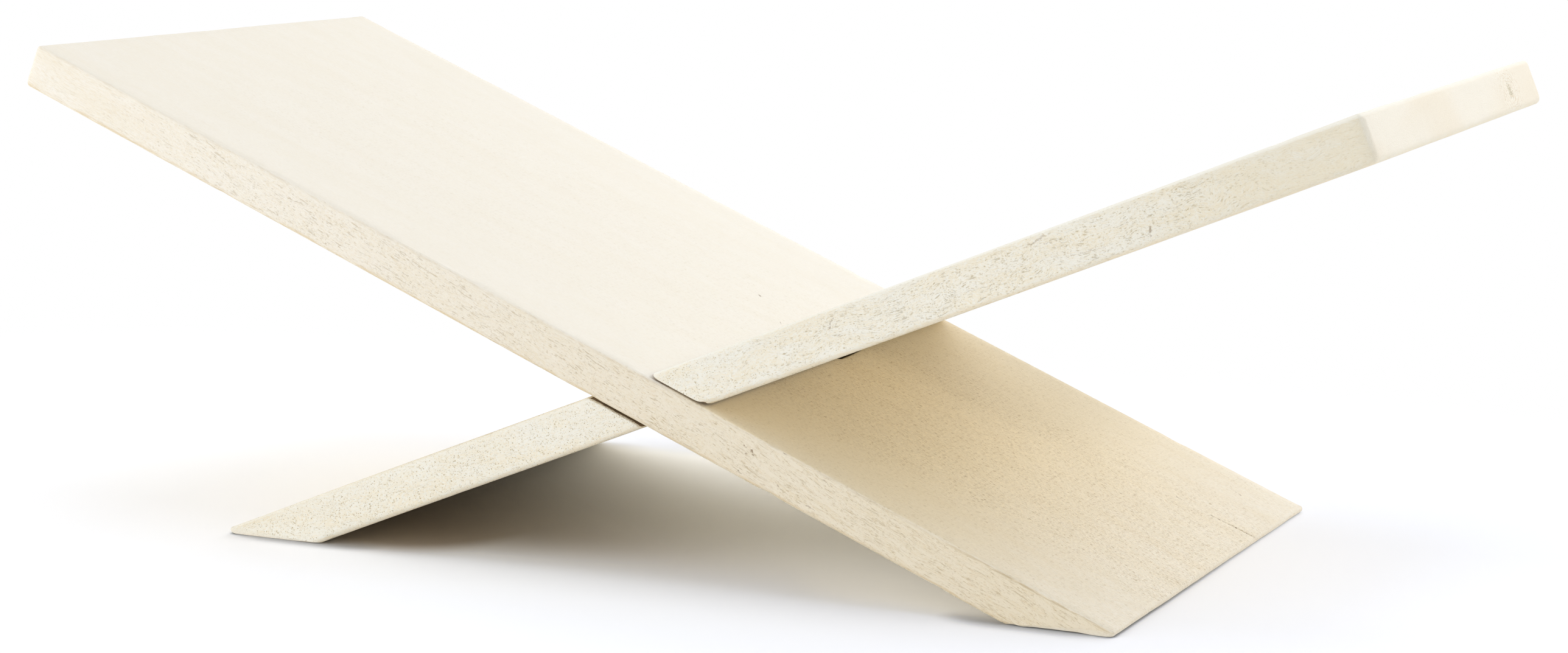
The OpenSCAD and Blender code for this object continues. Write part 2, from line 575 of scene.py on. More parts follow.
# ---------------------------------------------------------------- building materials
class Field:
    """A number, vector or colour that changes over a surface, as a shader node gives it out.
    Arithmetic with one adds the node that works the result out."""

    def __init__(self, socket):
        self.socket = socket
        self.tree = socket.id_data

    def __abs__(self):
        return work_out("ABSOLUTE", self)

    def __add__(self, other):
        return work_out("ADD", self, other)

    def __sub__(self, other):
        return work_out("SUBTRACT", self, other)

    def __rsub__(self, other):
        return work_out("SUBTRACT", other, self)

    def __mul__(self, other):
        return work_out("MULTIPLY", self, other)

    def __truediv__(self, other):
        return work_out("DIVIDE", self, other)

    def __rtruediv__(self, other):
        return work_out("DIVIDE", other, self)


class Outputs:
    """What a node gives out, by the name or number of the socket."""

    def __init__(self, node):
        self.node = node

    def __getitem__(self, key):
        return Field(self.node.outputs[key])


def feed(node, inputs):
    """Links or sets each input of a node that a name or number in inputs points to."""
    for key, value in inputs.items():
        socket = node.inputs[key]
        if isinstance(value, Field):
            node.id_data.links.new(value.socket, socket)
        else:
            socket.default_value = value


def add_node(tree, kind, inputs=None, **settings):
    """Adds a node of the given kind, sets its properties, feeds it, and returns its outputs."""
    node = tree.nodes.new("ShaderNode" + kind)
    for key, value in settings.items():
        setattr(node, key, value)
    feed(node, inputs or {})
    return Outputs(node)


def tree_of(values):
    """The node tree of the first field among the values."""
    return next(value.tree for value in values if isinstance(value, Field))


def is_vector(value):
    """True for a vector or a colour, and False for a number."""
    if isinstance(value, Field):
        return value.socket.type != "VALUE"
    return isinstance(value, tuple)


def work_out(operation, *values, **settings):
    """The result of one Math node, or of one Vector Math node if any of the values is a vector."""
    tree = tree_of(values)
    if not any(is_vector(value) for value in values):
        inputs = dict(enumerate(values))
        return add_node(tree, "Math", inputs, operation=operation, **settings)[0]
    if operation == "MULTIPLY" and not is_vector(values[1]):
        inputs = {"Vector": values[0], "Scale": values[1]}
        return add_node(tree, "VectorMath", inputs, operation="SCALE")["Vector"]
    made = add_node(tree, "VectorMath", dict(enumerate(values)), operation=operation)
    return made["Value" if operation in ("LENGTH", "DOT_PRODUCT") else "Vector"]


def largest(first, *others):
    """The largest of the values, taken in turn."""
    for other in others:
        first = work_out("MAXIMUM", first, other)
    return first


def noise(place, scale=1.0, detail=2.0, output="Fac", rough=0.5):
    """Noise over a place, about 0.5."""
    inputs = {"Vector": place, "Scale": scale, "Detail": detail, "Roughness": rough}
    return add_node(place.tree, "TexNoise", inputs)[output]


def ramp(value, low, high, from_value=0.0, to_value=1.0):
    """Carries value smoothly from from_value at low to to_value at high."""
    inputs = {
        "Value": value,
        "From Min": low,
        "From Max": high,
        "To Min": from_value,
        "To Max": to_value,
    }
    return add_node(value.tree, "MapRange", inputs, interpolation_type="SMOOTHSTEP")["Result"]


def fade(share, from_value, to_value):
    """Carries from_value, where a share is 0, smoothly to to_value, where it is 1."""
    return ramp(share, 0.0, 1.0, from_value, to_value)


def mixed(share, first, second, blend="MIX"):
    """A colour mixed from two colours by a share."""
    tree = tree_of((share, first, second))
    inputs = {0: share, 6: first, 7: second}
    return add_node(tree, "Mix", inputs, data_type="RGBA", blend_type=blend)[2]


def mixed_value(share, first, second):
    """A number mixed from two numbers by a share."""
    inputs = {"Factor": share, 2: first, 3: second}
    return add_node(share.tree, "Mix", inputs, data_type="FLOAT")[0]


def new_group(name, inputs, outputs):
    """An empty shader node group. inputs and outputs map a socket's name to its kind, or for an input
    to its kind and starting value. Returns the group, what it is given and its output node."""
    group = bpy.data.node_groups.new(name, "ShaderNodeTree")
    for label, (kind, value) in inputs.items():
        socket = group.interface.new_socket(label, in_out="INPUT", socket_type="NodeSocket" + kind)
        if value is not None:
            socket.default_value = value
    for label, kind in outputs.items():
        group.interface.new_socket(label, in_out="OUTPUT", socket_type="NodeSocket" + kind)
    given = Outputs(group.nodes.new("NodeGroupInput"))
    return group, given, group.nodes.new("NodeGroupOutput")


def place_group(group, **inputs):
    """Places a node group with its own values. A name's underscores stand for spaces."""
    inputs = {key.replace("_", " "): value for key, value in inputs.items()}
    return add_node(tree_of(inputs.values()), "Group", inputs, node_tree=group)


# ---------------------------------------------------------------- effects that both boards share
# The middle of a noise that gives out a colour.
MIDDLE = (0.5, 0.5, 0.5)
# How closely long patches, bands and lines lie along, across and through the board.
LONG_PATCHES = (0.05, 0.12, 0.12)
BAND_STRETCH = (0.09, 1.0, 0.45)
LINE_STRETCH = (0.012, 1.0, 0.10)
# What is left of a share of luck where a pore begins to open and where it is open, the sizes and
# darknesses that pores differ between, and where their rims begin and end, as shares of the size.
PORE_OPENS = (-0.03, 0.1)
PORE_SIZES = (0.5, 1.25)
PORE_DARKNESS = (0.25, 1.0)
PORE_RIM = (1.1, 0.45)
# The noise that a streak passes, how far its share lowers that, and the width of a streak's rim.
STREAK_LIMIT = 0.71
STREAK_LOWERED = 0.2
STREAK_RIM = (0.0, 0.07)
LINE_RIM = (0.07, 0.0)
# Where a mark's rim begins and ends, in half widths from its middle.
MARK_RIM = (1.5, 0.5)


def fibre_course_group():
    """Bends a place in the board (mm) so that its first coordinate follows the wood fibres: the two
    cross coordinates lean in proportion to the first, and are shifted by noise in two lengths."""
    group, given, result = new_group(
        "fibre_course",
        {
            "Place": ("Vector", None),
            "Lean": ("Vector", (0, 0, 0)),
            "Wave Length": ("Float", 60.0),
            "Wave Height": ("Float", 2.0),
            "Curl Length": ("Float", 14.0),
            "Curl Height": ("Float", 0.4),
        },
        {"Place": "Vector"},
    )
    along = add_node(group, "SeparateXYZ", {0: given["Place"]})["X"]
    total = given["Place"] + given["Lean"] * along
    for length, height in (("Wave Length", "Wave Height"), ("Curl Length", "Curl Height")):
        sway = noise(given["Place"], scale=1.0 / given[length], detail=0.0, output="Color")
        across = (sway - MIDDLE) * (0.0, 1.0, 1.0)
        total = total + across * (given[height] * 4.0)
    feed(result, {"Place": total})
    return group


def crowding(place, share, amount):
    """A share that rises and falls by an amount in long patches along the fibres."""
    return share + (noise(place * LONG_PATCHES) - 0.5) * amount


def cell_size(length, width):
    """The size of a long cell: its length along the fibres, and its width both ways across them."""
    return add_node(length.tree, "CombineXYZ", {"X": length, "Y": width, "Z": width})[0]


def open_pores_group():
    """Cut vessels of the wood: one long cell in each cell of a stretched Voronoi lattice, with a
    ragged rim. Mask is 1 inside a pore and fades to 0 at its rim. Some cells stay shut."""
    group, given, result = new_group(
        "open_pores",
        {
            "Course": ("Vector", None),
            "Length": ("Float", 3.0),
            "Spacing": ("Float", 0.5),
            "Size": ("Float", 0.34),
            "Share": ("Float", 0.6),
            "Crowding": ("Float", 0.5),
            "Ragged": ("Float", 0.1),
            "Shift": ("Vector", (0, 0, 0)),
        },
        {"Mask": "Float"},
    )
    shifted = given["Course"] + given["Shift"]
    tear = noise(shifted, scale=1.7, detail=1.0, output="Color") - MIDDLE
    torn = shifted + tear * given["Ragged"]
    lattice = torn / cell_size(given["Length"], given["Spacing"])
    cells = add_node(group, "TexVoronoi", {"Vector": lattice, "Scale": 1.0}, feature="F1")
    luck = add_node(group, "SeparateColor", {"Color": cells["Color"]})
    open_share = crowding(shifted, given["Share"], given["Crowding"])
    is_open = ramp(open_share - luck["Red"], *PORE_OPENS)
    size = given["Size"] * fade(luck["Green"], *PORE_SIZES)
    inside = ramp(cells["Distance"] / size, *PORE_RIM)
    darkness = fade(luck["Blue"], *PORE_DARKNESS)
    feed(result, {"Mask": inside * is_open * darkness})
    return group


def streaks_group():
    """Broken streaks along the fibres: noise stretched to Length by Width, wherever it passes a limit
    that Share lowers, so that their ends and sides are ragged."""
    group, given, result = new_group(
        "fibre_streaks",
        {
            "Course": ("Vector", None),
            "Length": ("Float", 6.0),
            "Width": ("Float", 0.7),
            "Share": ("Float", 0.5),
            "Crowding": ("Float", 1.0),
            "Shift": ("Vector", (0, 0, 0)),
        },
        {"Mask": "Float"},
    )
    shifted = given["Course"] + given["Shift"]
    stretched = shifted / cell_size(given["Length"], given["Width"])
    share = crowding(shifted, given["Share"], given["Crowding"])
    limit = STREAK_LIMIT - share * STREAK_LOWERED
    above = noise(stretched, detail=3.0, rough=0.62) - limit
    feed(result, {"Mask": ramp(above, *STREAK_RIM)})
    return group


def growth_group():
    """Growth layers: thin darker lines and broad soft bands that lie square to the depth and wander
    with the fibres."""
    group, given, result = new_group(
        "growth_layers",
        {
            "Course": ("Vector", None),
            "Band Width": ("Float", 14.0),
            "Line Width": ("Float", 2.0),
            "Shift": ("Vector", (0, 0, 0)),
        },
        {"Bands": "Float", "Lines": "Float"},
    )
    shifted = given["Course"] + given["Shift"]
    bands = noise(shifted * BAND_STRETCH, scale=1.0 / given["Band Width"])
    lines = noise(shifted * LINE_STRETCH, scale=1.0 / given["Line Width"])
    feed(result, {"Bands": bands, "Lines": ramp(abs(lines - 0.5), *LINE_RIM)})
    return group


def mark_group():
    """A crack, fleck or scratch: 1 within half a width of the straight line from Start to End (mm),
    fading to 0 at the rim, and thinner towards End."""
    group, given, result = new_group(
        "mark_line",
        {
            "Place": ("Vector", None),
            "Start": ("Vector", (0, 0, 0)),
            "End": ("Vector", (10, 0, 0)),
            "Width": ("Float", 0.4),
            "Taper": ("Float", 0.5),
        },
        {"Mask": "Float"},
    )
    line = given["End"] - given["Start"]
    offset = given["Place"] - given["Start"]
    projected = work_out("DOT_PRODUCT", offset, line)
    squared = work_out("DOT_PRODUCT", line, line)
    share = work_out("DIVIDE", projected, squared, use_clamp=True)
    away = work_out("LENGTH", offset - line * share)
    half = given["Width"] * (1.0 - share * given["Taper"]) * 0.5
    feed(result, {"Mask": ramp(away / half, *MARK_RIM)})
    return group


# ---------------------------------------------------------------- materials
def srgb(red, green, blue):
    """A colour written in 0 to 255, as a shader takes it."""
    parts = np.array([red, green, blue]) / 255
    linear = np.where(parts <= 0.04045, parts / 12.92, ((parts + 0.055) / 1.055) ** 2.4)
    return (*(float(part) for part in linear), 1.0)


# The wood of each board, with lengths in mm. Its colours: pale, cream and warm patches, tan where it
# is shaded (partly painted shade), the tint of its edges, pores, and the lower arris (a painted
# highlight on the right board). The course of its fibres: their lean, and the length and height of
# long waves and small curls. Its pores: the size of their cells and the share of them that is open,
# how dark they are and how they crowd. Where along u the edge tint, dots, rougher pores (with how dark
# they are at both ends) and the crust begin and are full. How strong the crust, the dark line under
# the upper arris (partly painted shade), the lower arris's band and the rubbed arrises (partly painted
# highlight) are. The knot's d and w and its radius, and u + w at the lower shoulder. Its marks: start,
# end, width, how much thinner they get, and how dark.
WOOD = {
    "left_rest_board": {
        "pale": srgb(254, 249, 238),
        "cream": srgb(252, 246, 232),
        "warm": srgb(244, 231, 206),
        "tan": srgb(248, 234, 203),
        "aged": srgb(248, 242, 229),
        "aged_from": (260, -190),
        "pore": srgb(199, 184, 153),
        "low_arris": srgb(226, 201, 154),
        "lean": (0, 0.0, -0.09),
        "wave": (80.0, 1.5),
        "curl": (13.0, 0.35),
        "tick_cell": (2.2, 0.38),
        "tick_share": 0.45,
        "dot_cell": (1.0, 0.36),
        "dot_share": 0.60,
        "dots": (400, 500),
        "streak_size": (7.0, 0.60),
        "streak_share": 0.50,
        "pore_depth": 0.66,
        "rougher": (120, -120, 0.8, 1.15),
        "crust": 0.7,
        "crust_from": (-20, -75),
        "crowding": 1.2,
        "edge_line": 0.6,
        "low_edge": 0.55,
        "rubbed": 0.12,
        "knot": (-24, -14),
        "knot_size": 0.0,
        "shoulder": -14.8,
        "marks": [
            ((-195.5, 186.0, 10), (-219.7, 187.4, 10), 0.7, 0.0, 0.8),
            ((-195.8, 231.5, 10), (-189.4, 233.6, 10), 0.5, 0.4, 0.6),
            ((-187.7, 232.3, 10), (-178.4, 231.7, 10), 0.4, 0.7, 0.3),
            ((-178.7, 186.4, 10), (-181.4, 185.8, 10), 0.8, 0.5, 0.7),
            ((29.7, 161.3, 10), (30.3, 161.8, 10), 1.0, 0.0, 0.7),
            ((9.1, 142.0, 10), (7.4, 140.0, 10), 0.6, 0.5, 0.5),
            ((-25.5, 104.6, 10), (-33.7, 99.4, 10), 0.5, 0.5, 0.5),
            ((-50.7, 0, 3.7), (-51.9, 0, 3.2), 1.1, 0.5, 0.7),
            ((-47.0, 0, 4.1), (-48.4, 0, 3.7), 0.7, 0.5, 0.6),
            ((-52.0, 0, 2.4), (-52.6, 0, 1.9), 0.7, 0.5, 0.6),
            ((-49.0, 0, 1.5), (-49.6, 0, 1.2), 0.6, 0.5, 0.5),
            ((-48.6, 0, -6.8), (-51.0, 0, -7.4), 0.7, 0.6, 0.5),
            ((-66.7, 0, -4.0), (-68.9, 0, -5.0), 0.7, 0.5, 0.5),
            ((-49.0, 0, 9.6), (-56.5, 0, 9.5), 0.5, 0.6, 0.6),
            ((-64.0, 0, 9.6), (-68.8, 0, 9.5), 0.7, 0.4, 0.7),
            ((-81.4, 0, -5.8), (-86.4, 0, -6.2), 0.8, 0.6, 0.4),
            ((-84.0, 0, 7.4), (-89.6, 0, 6.6), 0.6, 0.6, 0.4),
        ],
    },
    "right_rest_board": {
        "pale": srgb(255, 253, 243),
        "cream": srgb(254, 247, 228),
        "warm": srgb(248, 236, 209),
        "tan": srgb(248, 234, 200),
        "aged": srgb(247, 246, 243),
        "aged_from": (160, 310),
        "pore": srgb(195, 181, 149),
        "low_arris": srgb(253, 240, 214),
        "lean": (0, 0.0, 0.04),
        "wave": (34.0, 2.8),
        "curl": (9.0, 1.0),
        "tick_cell": (1.9, 0.60),
        "tick_share": 0.60,
        "dot_cell": (0.80, 0.64),
        "dot_share": 0.90,
        "dots": (80, 5),
        "streak_size": (5.0, 0.45),
        "streak_share": 0.40,
        "pore_depth": 0.85,
        "rougher": (120, -60, 0.8, 1.1),
        "crust": 0.0,
        "crust_from": (0, 1),
        "crowding": 1.2,
        "edge_line": 0.15,
        "low_edge": 0.9,
        "rubbed": 0.45,
        "knot": (46, 0.3),
        "knot_size": 1.7,
        "shoulder": -16.2,
        "marks": [
            ((232.6, 260, -2.7), (231.8, 260, -4.4), 1.2, 0.3, 0.5),
            ((231.5, 260, -5.8), (231.3, 260, -6.2), 0.8, 0.3, 0.4),
            ((189.4, 260, 5.2), (199.0, 260, 4.4), 0.5, 0.4, 0.35),
            ((196.4, 260, -2.6), (213.0, 260, -3.9), 0.5, 0.4, 0.25),
            ((203.6, 260, 1.1), (209.6, 260, 2.3), 0.5, 0.4, 0.3),
            ((190.0, 260, 8.4), (184.0, 260, 6.7), 0.9, 0.3, 0.35),
            ((184.0, 260, 6.7), (181.4, 260, 8.0), 0.7, 0.3, 0.3),
            ((90.2, 260, 2.6), (91.0, 260, 4.4), 0.7, 0.2, 0.5),
            ((91.0, 260, 4.4), (93.2, 260, 5.9), 0.6, 0.5, 0.45),
        ],
    },
}
# Colours that both boards share.
MARK_BROWN = srgb(128, 96, 60)
# The saw cut's brown is partly the sawn wood's own and partly painted shade in the narrow gaps.
CUT_BROWN = srgb(126, 98, 64)
KNOT_GREY = srgb(212, 202, 176)
END_CREAM = srgb(253, 247, 233)
END_PEACH = srgb(251, 242, 224)
RING_BROWN = srgb(228, 208, 176)

# Where a finish begins and where it is full, in mm along u, d or w.
TOP_FACE_W = (8.9, 9.9)
UNDERSIDE_W = (-9.0, -10.0)
SHELTERED_U = (2.0, -12.0)
TAN_FADES_U = (-95.0, -215.0)
UNTOUCHED_D = (10.0, 90.0)
UNTOUCHED_TO_D = (240.0, 165.0)
CALM_END_U = (230.0, 310.0)
# The painted shadow behind the crossing, and the painted shade that darkens the shaded faces away from
# it.
SHADOW_BEHIND_CROSSING_U = (-170.0, -85.0)
SHADOW_BEHIND_CROSSING_D = (125.0, 205.0)
SHADE_TONE_U = (-18.0, -85.0)
DARK_LINE_W = (8.0, 8.8)
DARK_LINE_TO_W = (9.6, 9.0)
DARK_LINE_U = (-135.0, -165.0)
LOW_ARRIS_W = (-7.4, -9.0)
RUBBED_W = (-5.0, -1.0)
FOOT_NOSE_U = (-217.6, -219.0)
DARK_STRIP_D = (DEPTH / MM - 3, DEPTH / MM - 1)

# The noises of the wood: how closely each lies along, across and through the board (per mm), its
# detail and its roughness.
NOISES = {
    "fibre": ((0.25, 3.4, 3.4), 3.0, 0.5),
    "chalk": ((0.7, 1.5, 1.5), 3.0, 0.6),
    "mottle": ((0.03, 0.09, 0.16), 3.0, 0.6),
    "crust": ((0.06, 0.60, 0.60), 4.0, 0.6),
    "grain": ((0.7, 2.6, 2.6), 3.0, 0.7),
    "run": ((0.12, 1.0, 1.0), 3.0, 0.5),
    "torn": ((1.3, 1.3, 1.3), 4.0, 0.7),
    "drift": ((0.1, 0.012, 0.035), 1.0, 0.5),
}
# The kinds of pore: the share of its cell that one fills, how ragged it is, and a shift of the cells.
PORE_KINDS = (("tick", 0.40, 0.5, (0, 0, 0)), ("dot", 0.38, 0.45, (31.0, 7.0, 13.0)))
# The values of a noise between which what it brings sets in.
PATCHES_AT = (0.36, 0.64)
BANDS_AT = (0.45, 0.75)
FIBRES_AT = (0.4, 0.75)
FLECKS_AT = (0.46, 0.62)
ISLANDS_AT = (0.49, 0.55)
GRAIN_AT = (0.3, 0.7)
DULL_GRAIN_AT = (0.35, 0.65)
LOW_EDGE_AT = (0.40, 0.58)
DARK_LINE_AT = (0.42, 0.6)
RIM_AT = (0.42, 0.6)
DRIFT_AT = (0.38, 0.62)
# What the fine grain swings between on bleached and on shaded faces, and the chalk in roughness.
DULL_TO_PALE = (0.975, 1.0)
GRAIN_SWING = (-0.11, 0.10)
CHALK_ROUGHNESS = (0.6, 0.78)
# How strongly each finish shows where it is full.
BAND_SHARE = 0.3
LINE_SHARE = 0.10
FIBRE_SHARE = 0.7
FLECK_SHARE = 0.75
TAN_SHARE = 0.85
NOSE_SHARE = 0.35
CUT_SHARE = 0.9
KNOT_SHARE = 0.9
# On an edge the pores thin out between these distances from the middle of the thickness, in mm.
NEAR_ARRIS = (9.4, 7.2)
# The brown strip by the lower shoulder, partly torn wood and partly painted shade of the gap there:
# what turns u + w into a distance from it, the distances between which the strip begins and ends,
# and how far its sides waver, all in mm.
SHOULDER_STEEPNESS = 0.705
STRIP_FROM = (-0.05, 0.8)
STRIP_TO = (4.0, 3.0)
STRIP_WAVER = 1.8
# How far the sides of a mark waver, in mm.
MARK_WAVER = 1.6
# The crust's rim lies about this value of its noise, and is this wide in it.
RIM_MIDDLE = 0.485
RIM_WIDTH = (0.016, 0.004)
# The end grain: how flat its rings and its knot are, how much the rings sway, how close they lie, how
# much chalk frays a ring's line and the knot's rim, and where rings and dots fade from the knot.
RING_FLATNESS = (0, 0.75, 0.9)
KNOT_FLATNESS = (0, 0.8, 0.8)
RING_SWAY = 7.0
RINGS_PER_MM = 3.6
RING_FRAY = 3.4
RING_LINE = (2.1, 3.0)
KNOT_FRAY = 12.0
RINGS_FADE = (24.0, 7.0, 0.06, 0.6)
DOTS_FADE = (20.0, 5.5, 0.10, 0.6)
DOTS_PER_MM = 1.1
DOT_RIM = (0.30, 0.16)
# The relief: how strong and how high, and how much the fibres and the pores take part in it.
RELIEF_STRENGTH = 0.9
RELIEF_HEIGHT = 0.16 * MM
RELIEF_FIBRES = 0.8
RELIEF_PORES = 0.6


def texture(name, place):
    """One of the noises of the wood, about 0.5."""
    stretch, detail, rough = NOISES[name]
    return noise(place * stretch, detail=detail, rough=rough)


def surface_mask(tree, name):
    """One of the masks that the dressed board's mesh carries."""
    return add_node(tree, "Attribute", attribute_name=name)["Fac"]


def board_place(tree, turned):
    """The place in a board's own directions u, d and w, in mm."""
    side = 1 if turned else -1
    mapping = {
        "Vector": add_node(tree, "TexCoord")["Object"],
        "Location": (0, side * (DEPTH + SET_BACK) / 2, CROSSING_H),
        "Rotation": (0, SLOPE - pi, pi if turned else 0),
        "Scale": (MM, MM, -MM),
    }
    return add_node(tree, "Mapping", mapping, vector_type="TEXTURE")["Vector"]


def parts_of_board(place):
    """The place's u, d and w, and a share for each part of the board: its top face, its edges, the open
    part of the top that light bleaches, which is also kept plainer as a painted highlight, the part that
    the other board shades, which takes painted shade, how tan it is, partly as painted shade, and the
    middle of the depth, where hands have wiped the pores the least."""
    apart = add_node(place.tree, "SeparateXYZ", {0: place})
    u, d, w = apart["X"], apart["Y"], apart["Z"]
    on_top = ramp(w, *TOP_FACE_W)
    sheltered = on_top * ramp(u, *SHELTERED_U)
    beneath = ramp(w, *UNDERSIDE_W)
    untouched = ramp(d, *UNTOUCHED_D) * ramp(d, *UNTOUCHED_TO_D)
    return SimpleNamespace(
        u=u,
        d=d,
        w=w,
        on_top=on_top,
        on_side=1.0 - (on_top + beneath),
        bleached=on_top - sheltered,
        shaded=sheltered + beneath,
        tan_and_painted_shade=sheltered * ramp(u, *TAN_FADES_U, 1.0, 0.05) + beneath,
        middle=fade(untouched, 0.40, 1.05),
    )


def pore_mask(course, part, crusted, look, effects):
    """Every open pore: ticks and streaks along the fibres, and dots where the pores are cut across.
    They thin out towards the top end, the arrises and a crusted edge."""
    common = {"Course": course, "Crowding": look["crowding"]}
    masks = {}
    for label, size, ragged, shift in PORE_KINDS:
        length, spacing = look[label + "_cell"]
        masks[label] = place_group(
            effects["pores"],
            Length=length,
            Spacing=spacing,
            Size=size,
            Share=look[label + "_share"],
            Ragged=ragged,
            Shift=shift,
            **common,
        )["Mask"]
    length, width = look["streak_size"]
    share = look["streak_share"]
    streaks = place_group(effects["streaks"], Length=length, Width=width, Share=share, **common)
    streaks = streaks["Mask"] * fade(part.on_top, 0.85, 0.2)
    cut_across = ramp(part.u, *look["dots"])
    long_pores = largest(masks["tick"], streaks) * fade(cut_across, 1.0, 0.3)
    dots = masks["dot"] * fade(cut_across, 0.6, 1.0)
    calm_end = ramp(part.u, *CALM_END_U, 1.0, 0.35)
    near_arris = ramp(abs(part.w) * part.on_side, *NEAR_ARRIS, 0.25, 1.0)
    return largest(long_pores, dots) * calm_end * near_arris * (1.0 - crusted * 0.3)


def bleached_colour(course, part, fibre, chalk, look, effects):
    """Pale and cream patches, warm bands, growth lines and fibres, and chalky flecks, which are partly
    painted highlights of the relief. The bleached part shows less of each: partly sun-bleached wood,
    partly a painted highlight of the lit top face."""
    growth = place_group(effects["growth"], Course=course)
    patches = ramp(texture("mottle", course), *PATCHES_AT) * fade(part.bleached, 1.0, 0.4)
    colour = mixed(patches, look["pale"], look["cream"])
    bands = ramp(growth["Bands"], *BANDS_AT) * BAND_SHARE
    fibres = ramp(fibre, *FIBRES_AT, 0.0, FIBRE_SHARE)
    lines = growth["Lines"] * fade(part.bleached, LINE_SHARE, 0.04)
    for warm in (
        bands * fade(part.bleached, 1.0, 0.25),
        lines,
        fibres * fade(part.bleached, 1.0, 0.3),
    ):
        colour = mixed(warm, colour, look["warm"])
    calm_end = ramp(part.u, *CALM_END_U, 1.0, 0.3)
    # Pale chalky flecks, partly painted highlights beside the pores.
    flecks = ramp(chalk, *FLECKS_AT) * FLECK_SHARE * calm_end * fade(part.on_top, 1.0, 0.25)
    return mixed(flecks, colour, look["pale"])


def side_tint_tan_and_painted_shade(course, part, colour, look):
    """Tints the edges towards one end, and tans the faces that the other board shelters, partly as less
    bleached wood and partly as painted shade. Painted shade makes them darker away from the crossing and
    behind it, and they are darker in patches of fine grain."""
    # The edges take a tint that grows towards one end of the board.
    side_tinting = ramp(part.u, *look["aged_from"]) * part.on_side
    colour = mixed(side_tinting, colour, mixed(1.0, colour, look["aged"], "MULTIPLY"))
    # Tan on the sheltered top faces and the undersides: partly less bleached wood, partly painted shade.
    colour = mixed(part.tan_and_painted_shade * TAN_SHARE, colour, look["tan"])
    grain = texture("grain", course)
    swing = ramp(grain, *GRAIN_AT, *GRAIN_SWING) * part.middle
    behind = ramp(part.d, *SHADOW_BEHIND_CROSSING_D) * ramp(part.u, *SHADOW_BEHIND_CROSSING_U)
    # Painted shade on the shaded faces: lighter next to the crossing, darker away from it and behind it.
    painted_shade_and_grain = ramp(part.u, *SHADE_TONE_U, 1.05, 0.958) * (swing + 1.0) * fade(behind, 1.0, 0.88)
    colour = mixed(part.shaded, colour, painted_shade_and_grain, "MULTIPLY")
    dulled = ramp(grain, *DULL_GRAIN_AT, *DULL_TO_PALE)
    return mixed(part.bleached, colour, dulled, "MULTIPLY")


def pore_depth(part, look):
    """How dark the pores are: more on the top face, less where it is bleached (partly a painted
    highlight that washes out the lit top), wiped, or smoother.
    """
    depth = fade(part.on_top, 1.0, 1.7) * look["pore_depth"]
    depth = depth * fade(part.bleached, 1.0, 0.35) * ramp(part.u, *look["rougher"])
    return depth * mixed_value(part.on_top, 1.0, part.middle)


def saw_stain_and_gap_shade(place, part, chalk, look):
    """Brown where the slot was sawn, and where the lower shoulder is torn: a thin ragged strip, close
    to the slotted edge, on the foot's side of the line u + w = shoulder. The brown is partly the rough
    wood's own and partly painted shade in the narrow gaps, and under the upper shoulder it is a painted
    contact shade."""
    waver = (texture("torn", place) - 0.5) * STRIP_WAVER
    from_line = (part.u + part.w - look["shoulder"]) * SHOULDER_STEEPNESS + waver
    strip = ramp(from_line, *STRIP_FROM) * ramp(from_line, *STRIP_TO) * ramp(part.d, *DARK_STRIP_D)
    sawn = largest(surface_mask(place.tree, "saw_cut_and_contact_shade"), strip)
    return ramp(sawn + chalk * 0.5, 0.75, 1.05)


def dark_lines(part, run, crust, chalk, crusted, look):
    """The broken dark line under the upper arris, partly dirt and partly painted shade where the arris
    turns, and the rims of the crust's islands.
    """
    line = ramp(part.w, *DARK_LINE_W) * ramp(part.w, *DARK_LINE_TO_W) * ramp(run, *DARK_LINE_AT)
    line = line * ramp(part.u, *DARK_LINE_U, 0.3, 1.0) * look["edge_line"]
    rim = ramp(abs(crust - RIM_MIDDLE), *RIM_WIDTH) * crusted * ramp(chalk, *RIM_AT, 0.1, 0.9)
    return line, rim


def marked(place, colour, look, effects):
    """Single dark flecks, cracks and scratches, with wavering sides."""
    waver = noise(place, scale=0.9, output="Color") - MIDDLE
    wavering = place + waver * MARK_WAVER
    for start, end, width, taper, strength in look["marks"]:
        line = {"Start": start, "End": end, "Width": width, "Taper": taper}
        mark = place_group(effects["mark"], Place=wavering, **line)["Mask"]
        colour = mixed(mark * strength, colour, MARK_BROWN)
    return colour


def end_grain(place, chalk, look):
    """The cross cut at a board's end: rings round the knot, fainter further off, soft peach bands, dots
    of cut pores near the knot, and the knot itself. Returns its colour and its dark marks."""
    offset = place - (0, *look["knot"])
    sway = noise(place, scale=0.16, detail=3.0)
    ring = work_out("LENGTH", offset * RING_FLATNESS) + sway * RING_SWAY
    colour = mixed(ramp(texture("drift", place), *DRIFT_AT), END_CREAM, END_PEACH)
    lines = ramp(work_out("SINE", ring * RINGS_PER_MM) + chalk * RING_FRAY, *RING_LINE)
    colour = mixed(lines * ramp(ring, *RINGS_FADE), colour, RING_BROWN)
    away = work_out("LENGTH", offset * KNOT_FLATNESS) + (chalk - 0.5) * KNOT_FRAY
    size = look["knot_size"]
    knot = ramp(away, size + 0.5, size - 0.3)
    colour = mixed(knot * KNOT_SHARE, colour, KNOT_GREY)
    lattice = {"Vector": place, "Scale": DOTS_PER_MM}
    cells = add_node(place.tree, "TexVoronoi", lattice, feature="F1")
    return colour, ramp(cells["Distance"], *DOT_RIM) * ramp(ring, *DOTS_FADE)


